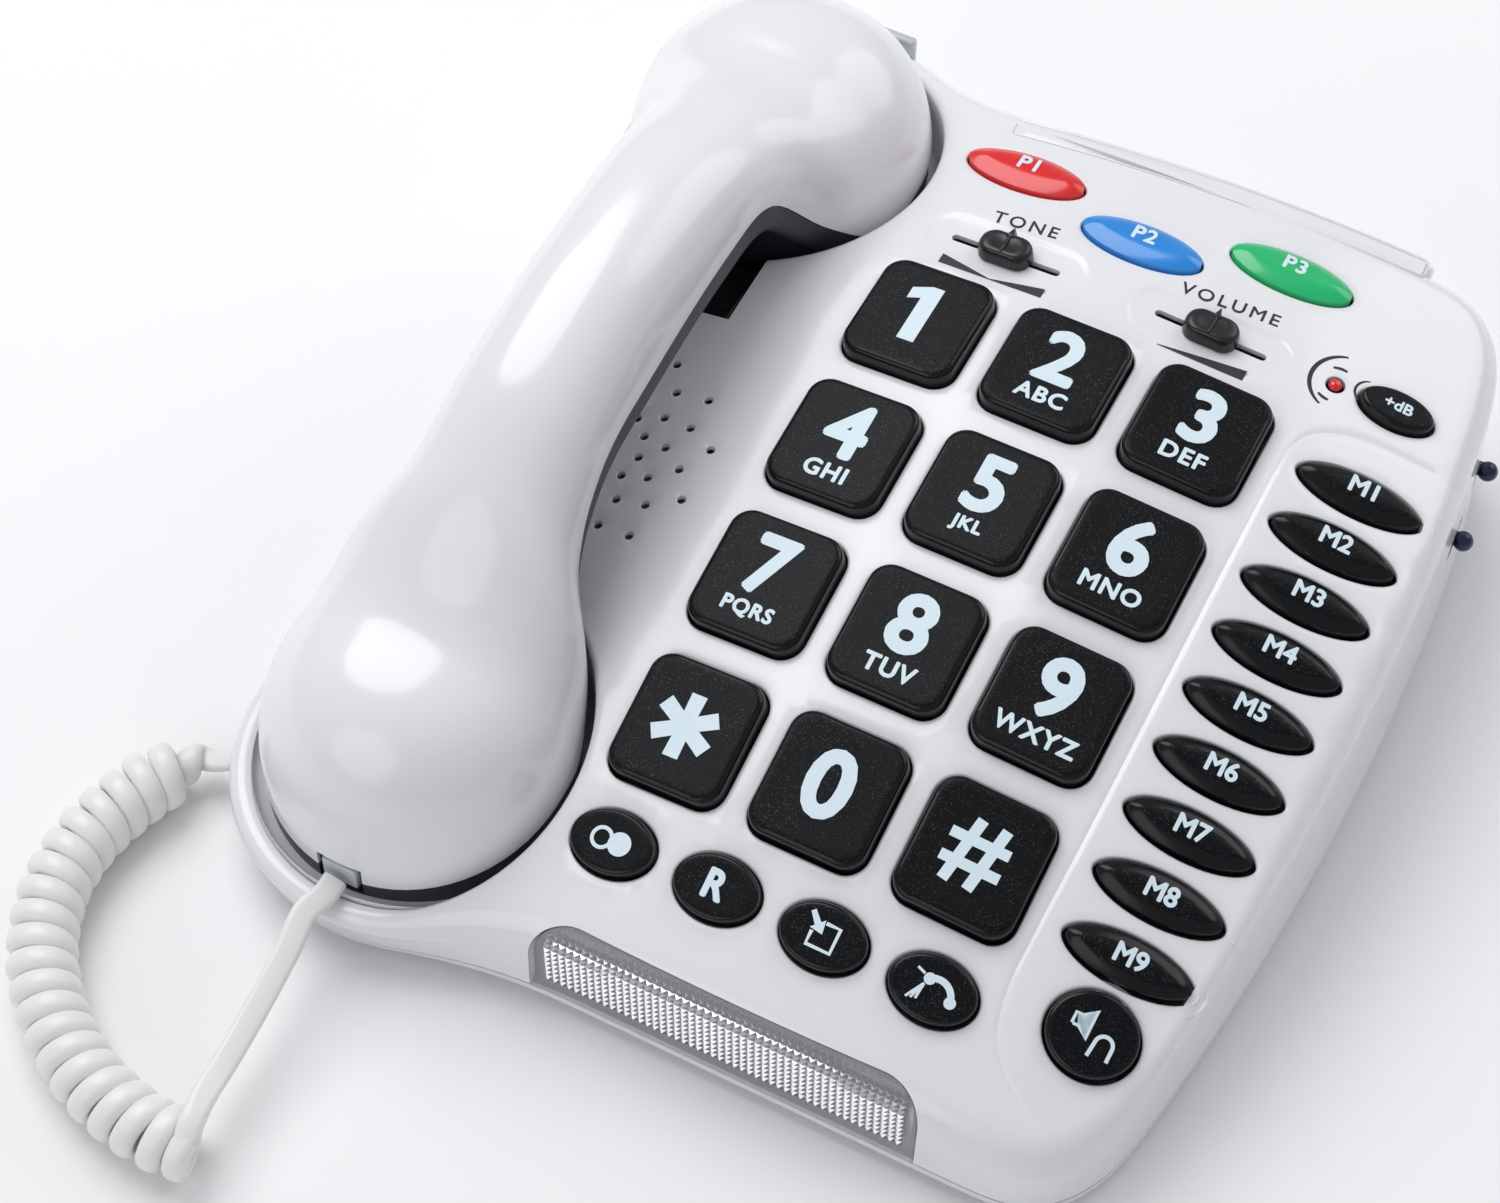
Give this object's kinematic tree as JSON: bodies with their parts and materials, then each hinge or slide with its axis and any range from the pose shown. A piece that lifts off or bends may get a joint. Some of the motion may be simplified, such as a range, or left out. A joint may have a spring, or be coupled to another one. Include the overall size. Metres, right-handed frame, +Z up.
{
  "type": "corded landline telephone",
  "caption": "Corded desk telephone with extra-large keys, memory and preset keys, tone and volume sliders, a front alert light window and a handset on a curly cord.",
  "frame": {"origin": "on the desk, under the middle of the telephone's outline without its handset cord", "axes": "+X to the user's right, +Y away from the user towards the rear edge, +Z up"},
  "size_m": [0.223, 0.2868, 0.092],
  "materials": {
    "white_gloss_plastic": "glossy moulded",
    "white_satin_plastic": "fine-grained satin",
    "charcoal_satin_plastic": "satin",
    "black_key_plastic": "fine speckled satin with a polished bevel",
    "red_key_plastic": "glossy",
    "blue_key_plastic": "glossy",
    "green_key_plastic": "glossy",
    "black_knob_plastic": "semi-gloss",
    "navy_switch_plastic": "semi-gloss",
    "clear_lens_plastic": "clear with a moulded prism field",
    "clear_plug_plastic": "clear glossy",
    "translucent_grey_plastic": "translucent satin",
    "silver_reflector": "bright vacuum-metallised",
    "grey_silicone": "matte",
    "circuit_board": "solder-masked",
    "capsule_plastic": "satin",
    "red_led_plastic": "clear tinted",
    "dark_jack_plastic": "satin",
    "foot_rubber": "matte",
    "cord_vinyl": "smooth extruded",
    "legend_white": "printed",
    "print_black": "printed",
    "screw_steel": "zinc-plated",
    "contact_gold": "gold-plated",
    "label_paper": "printed label",
    "clear_strip_plastic": "clear glossy",
    "dark_hollow": "matte",
    "wire_copper": "bare"
  },
  "bodies": {
    "base": {"base_upper_housing": "white_gloss_plastic", "alert_lens": "clear_lens_plastic", "base_lower_housing": "white_satin_plastic", "foot_front_left": "foot_rubber", "foot_front_right": "foot_rubber", "foot_rear_left": "foot_rubber", "foot_rear_right": "foot_rubber", "alert_reflector": "silver_reflector", "keypad_contact_mat": "grey_silicone", "main_circuit_board": "circuit_board", "loudspeaker": "capsule_plastic", "boost_led": "red_led_plastic", "base_cord_jack": "dark_jack_plastic", "line_jack": "dark_jack_plastic", "handset_wall_hook": "translucent_grey_plastic", "plug_base": "clear_plug_plastic", "coil": "cord_vinyl", "lead_handset": "cord_vinyl", "lead_base": "cord_vinyl"},
    "handset": {"handset_outer_shell": "white_gloss_plastic", "handset_inner_shell": "charcoal_satin_plastic", "receiver_capsule": "capsule_plastic", "microphone_capsule": "capsule_plastic", "handset_cord_jack": "dark_jack_plastic", "plug_handset": "clear_plug_plastic"},
    "hook_switch": {"hook_switch_plunger": "black_knob_plastic"},
    "tone_slider": {"tone_slider_knob": "black_knob_plastic"},
    "volume_slider": {"volume_slider_knob": "black_knob_plastic"},
    "ringer_volume": {"ringer_volume_switch": "navy_switch_plastic"},
    "ringer_pitch": {"ringer_pitch_switch": "navy_switch_plastic"},
    "key_1": {"key_1": "black_key_plastic"},
    "key_2": {"key_2": "black_key_plastic"},
    "key_3": {"key_3": "black_key_plastic"},
    "key_4": {"key_4": "black_key_plastic"},
    "key_5": {"key_5": "black_key_plastic"},
    "key_6": {"key_6": "black_key_plastic"},
    "key_7": {"key_7": "black_key_plastic"},
    "key_8": {"key_8": "black_key_plastic"},
    "key_9": {"key_9": "black_key_plastic"},
    "key_star": {"key_star": "black_key_plastic"},
    "key_0": {"key_0": "black_key_plastic"},
    "key_hash": {"key_hash": "black_key_plastic"},
    "key_memory_1": {"key_memory_1": "black_key_plastic"},
    "key_memory_2": {"key_memory_2": "black_key_plastic"},
    "key_memory_3": {"key_memory_3": "black_key_plastic"},
    "key_memory_4": {"key_memory_4": "black_key_plastic"},
    "key_memory_5": {"key_memory_5": "black_key_plastic"},
    "key_memory_6": {"key_memory_6": "black_key_plastic"},
    "key_memory_7": {"key_memory_7": "black_key_plastic"},
    "key_memory_8": {"key_memory_8": "black_key_plastic"},
    "key_memory_9": {"key_memory_9": "black_key_plastic"},
    "key_mute": {"key_mute": "black_key_plastic"},
    "key_recall": {"key_recall": "black_key_plastic"},
    "key_store": {"key_store": "black_key_plastic"},
    "key_redial": {"key_redial": "black_key_plastic"},
    "key_speaker": {"key_speaker": "black_key_plastic"},
    "key_preset_1": {"key_preset_1": "red_key_plastic"},
    "key_preset_2": {"key_preset_2": "blue_key_plastic"},
    "key_preset_3": {"key_preset_3": "green_key_plastic"},
    "key_boost": {"key_boost": "black_key_plastic"}
  },
  "joints": [
    {"name": "handset_lift", "type": "slide", "parent": "base", "child": "handset", "axis": [0, 0, 1], "range_m": [0, 0.08]},
    {"name": "hook_switch_travel", "type": "slide", "parent": "base", "child": "hook_switch", "axis": [0, 0, 1], "range_m": [0, 0.004]},
    {"name": "volume_slide", "type": "slide", "parent": "base", "child": "volume_slider", "axis": [0.998, 0.0108, -0.0615], "range_m": [-0.009, 0.009]},
    {"name": "tone_slide", "type": "slide", "parent": "base", "child": "tone_slider", "axis": [0.998, -0.0108, 0.0615], "range_m": [-0.009, 0.009]},
    {"name": "ringer_volume_slide", "type": "slide", "parent": "base", "child": "ringer_volume", "axis": [0, 1, 0], "range_m": [-0.003, 0.003]},
    {"name": "ringer_pitch_slide", "type": "slide", "parent": "base", "child": "ringer_pitch", "axis": [0, 1, 0], "range_m": [-0.003, 0.003]},
    {"name": "key_5_press", "type": "slide", "parent": "base", "child": "key_5", "axis": [0, 0.1736, -0.9848], "range_m": [0, 0.0015], "stiffness_N_per_m": 400, "springref_m": -0.0005},
    {"name": "key_preset_1_press", "type": "slide", "parent": "base", "child": "key_preset_1", "axis": [0, 0.1736, -0.9848], "range_m": [0, 0.0015], "stiffness_N_per_m": 400, "springref_m": -0.0005},
    {"name": "key_memory_5_press", "type": "slide", "parent": "base", "child": "key_memory_5", "axis": [0, 0.1736, -0.9848], "range_m": [0, 0.0015], "stiffness_N_per_m": 400, "springref_m": -0.0005},
    {"name": "key_speaker_press", "type": "slide", "parent": "base", "child": "key_speaker", "axis": [0, 0.1736, -0.9848], "range_m": [0, 0.0015], "stiffness_N_per_m": 400, "springref_m": -0.0005},
    {"name": "key_boost_press", "type": "slide", "parent": "base", "child": "key_boost", "axis": [0, 0.1736, -0.9848], "range_m": [0, 0.0015], "stiffness_N_per_m": 400, "springref_m": -0.0005},
    {"name": "key_mute_press", "type": "slide", "parent": "base", "child": "key_mute", "axis": [0, 0.1736, -0.9848], "range_m": [0, 0.0015], "stiffness_N_per_m": 400, "springref_m": -0.0005},
    {"name": "key_1_press", "type": "slide", "parent": "base", "child": "key_1", "axis": [0, 0.1736, -0.9848], "range_m": [0, 0.0015], "stiffness_N_per_m": 400, "springref_m": -0.0005},
    {"name": "key_2_press", "type": "slide", "parent": "base", "child": "key_2", "axis": [0, 0.1736, -0.9848], "range_m": [0, 0.0015], "stiffness_N_per_m": 400, "springref_m": -0.0005},
    {"name": "key_3_press", "type": "slide", "parent": "base", "child": "key_3", "axis": [0, 0.1736, -0.9848], "range_m": [0, 0.0015], "stiffness_N_per_m": 400, "springref_m": -0.0005},
    {"name": "key_4_press", "type": "slide", "parent": "base", "child": "key_4", "axis": [0, 0.1736, -0.9848], "range_m": [0, 0.0015], "stiffness_N_per_m": 400, "springref_m": -0.0005},
    {"name": "key_6_press", "type": "slide", "parent": "base", "child": "key_6", "axis": [0, 0.1736, -0.9848], "range_m": [0, 0.0015], "stiffness_N_per_m": 400, "springref_m": -0.0005},
    {"name": "key_7_press", "type": "slide", "parent": "base", "child": "key_7", "axis": [0, 0.1736, -0.9848], "range_m": [0, 0.0015], "stiffness_N_per_m": 400, "springref_m": -0.0005},
    {"name": "key_8_press", "type": "slide", "parent": "base", "child": "key_8", "axis": [0, 0.1736, -0.9848], "range_m": [0, 0.0015], "stiffness_N_per_m": 400, "springref_m": -0.0005},
    {"name": "key_9_press", "type": "slide", "parent": "base", "child": "key_9", "axis": [0, 0.1736, -0.9848], "range_m": [0, 0.0015], "stiffness_N_per_m": 400, "springref_m": -0.0005},
    {"name": "key_star_press", "type": "slide", "parent": "base", "child": "key_star", "axis": [0, 0.1736, -0.9848], "range_m": [0, 0.0015], "stiffness_N_per_m": 400, "springref_m": -0.0005},
    {"name": "key_0_press", "type": "slide", "parent": "base", "child": "key_0", "axis": [0, 0.1736, -0.9848], "range_m": [0, 0.0015], "stiffness_N_per_m": 400, "springref_m": -0.0005},
    {"name": "key_hash_press", "type": "slide", "parent": "base", "child": "key_hash", "axis": [0, 0.1736, -0.9848], "range_m": [0, 0.0015], "stiffness_N_per_m": 400, "springref_m": -0.0005},
    {"name": "key_memory_1_press", "type": "slide", "parent": "base", "child": "key_memory_1", "axis": [0, 0.1736, -0.9848], "range_m": [0, 0.0015], "stiffness_N_per_m": 400, "springref_m": -0.0005},
    {"name": "key_memory_2_press", "type": "slide", "parent": "base", "child": "key_memory_2", "axis": [0, 0.1736, -0.9848], "range_m": [0, 0.0015], "stiffness_N_per_m": 400, "springref_m": -0.0005},
    {"name": "key_memory_3_press", "type": "slide", "parent": "base", "child": "key_memory_3", "axis": [0, 0.1736, -0.9848], "range_m": [0, 0.0015], "stiffness_N_per_m": 400, "springref_m": -0.0005},
    {"name": "key_memory_4_press", "type": "slide", "parent": "base", "child": "key_memory_4", "axis": [0, 0.1736, -0.9848], "range_m": [0, 0.0015], "stiffness_N_per_m": 400, "springref_m": -0.0005},
    {"name": "key_memory_6_press", "type": "slide", "parent": "base", "child": "key_memory_6", "axis": [0, 0.1736, -0.9848], "range_m": [0, 0.0015], "stiffness_N_per_m": 400, "springref_m": -0.0005},
    {"name": "key_memory_7_press", "type": "slide", "parent": "base", "child": "key_memory_7", "axis": [0, 0.1736, -0.9848], "range_m": [0, 0.0015], "stiffness_N_per_m": 400, "springref_m": -0.0005},
    {"name": "key_memory_8_press", "type": "slide", "parent": "base", "child": "key_memory_8", "axis": [0, 0.1736, -0.9848], "range_m": [0, 0.0015], "stiffness_N_per_m": 400, "springref_m": -0.0005},
    {"name": "key_memory_9_press", "type": "slide", "parent": "base", "child": "key_memory_9", "axis": [0, 0.1736, -0.9848], "range_m": [0, 0.0015], "stiffness_N_per_m": 400, "springref_m": -0.0005},
    {"name": "key_recall_press", "type": "slide", "parent": "base", "child": "key_recall", "axis": [0, 0.1736, -0.9848], "range_m": [0, 0.0015], "stiffness_N_per_m": 400, "springref_m": -0.0005},
    {"name": "key_store_press", "type": "slide", "parent": "base", "child": "key_store", "axis": [0, 0.1736, -0.9848], "range_m": [0, 0.0015], "stiffness_N_per_m": 400, "springref_m": -0.0005},
    {"name": "key_redial_press", "type": "slide", "parent": "base", "child": "key_redial", "axis": [0, 0.1736, -0.9848], "range_m": [0, 0.0015], "stiffness_N_per_m": 400, "springref_m": -0.0005},
    {"name": "key_preset_2_press", "type": "slide", "parent": "base", "child": "key_preset_2", "axis": [0, 0.1736, -0.9848], "range_m": [0, 0.0015], "stiffness_N_per_m": 400, "springref_m": -0.0005},
    {"name": "key_preset_3_press", "type": "slide", "parent": "base", "child": "key_preset_3", "axis": [0, 0.1736, -0.9848], "range_m": [0, 0.0015], "stiffness_N_per_m": 400, "springref_m": -0.0005}
  ],
  "couplings": [
    {"joint": "hook_switch_travel", "follows": "handset_lift", "ratio": 0.05}
  ]
}
